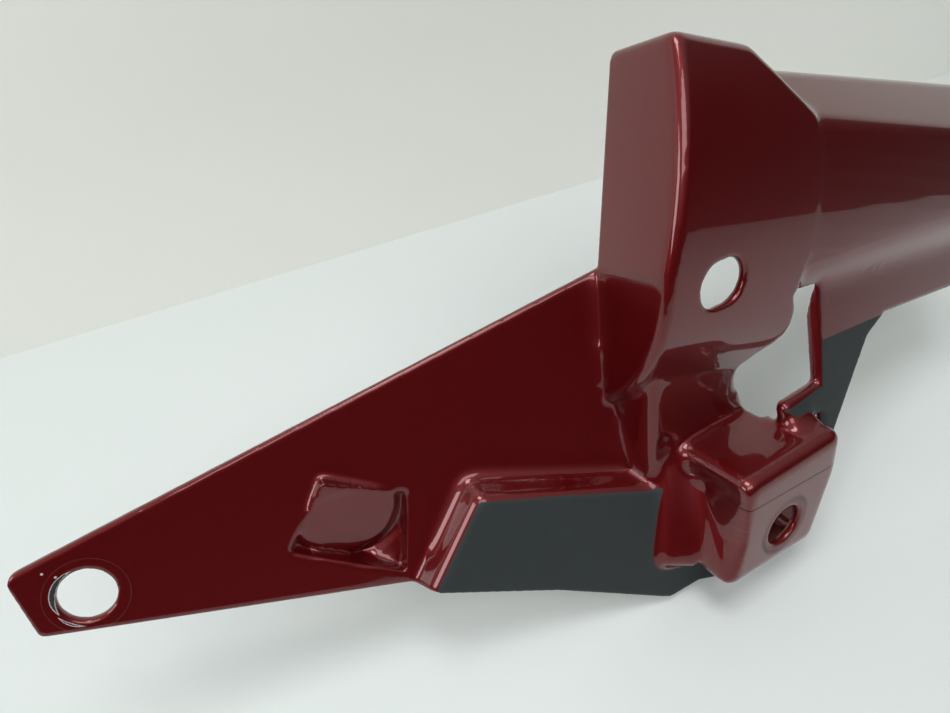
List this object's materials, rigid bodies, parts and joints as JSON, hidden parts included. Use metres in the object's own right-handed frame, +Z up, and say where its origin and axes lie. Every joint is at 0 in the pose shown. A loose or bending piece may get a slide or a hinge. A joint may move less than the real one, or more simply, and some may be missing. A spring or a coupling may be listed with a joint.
{
  "type": "motorcycle side fairing panel",
  "caption": "Thin-walled painted side fairing panel with a tapering fixing arm, a bowed deep pocket, a fixing lug and a channel-shaped rail.",
  "frame": {"origin": "centre of the fixing hole near the tip of the arm, on the outer face of the arm", "axes": "+X along the panel from the arm's tip to the rail's end, +Z up as the panel stands in the picture, -Y out of its outer side"},
  "size_m": [0.3435, 0.107, 0.1487],
  "materials": {
    "painted_plastic": "candy red clear-coated, with unpainted dark grey zones"
  },
  "bodies": {
    "root": {"fairing_panel": "painted_plastic"}
  },
  "joints": []
}
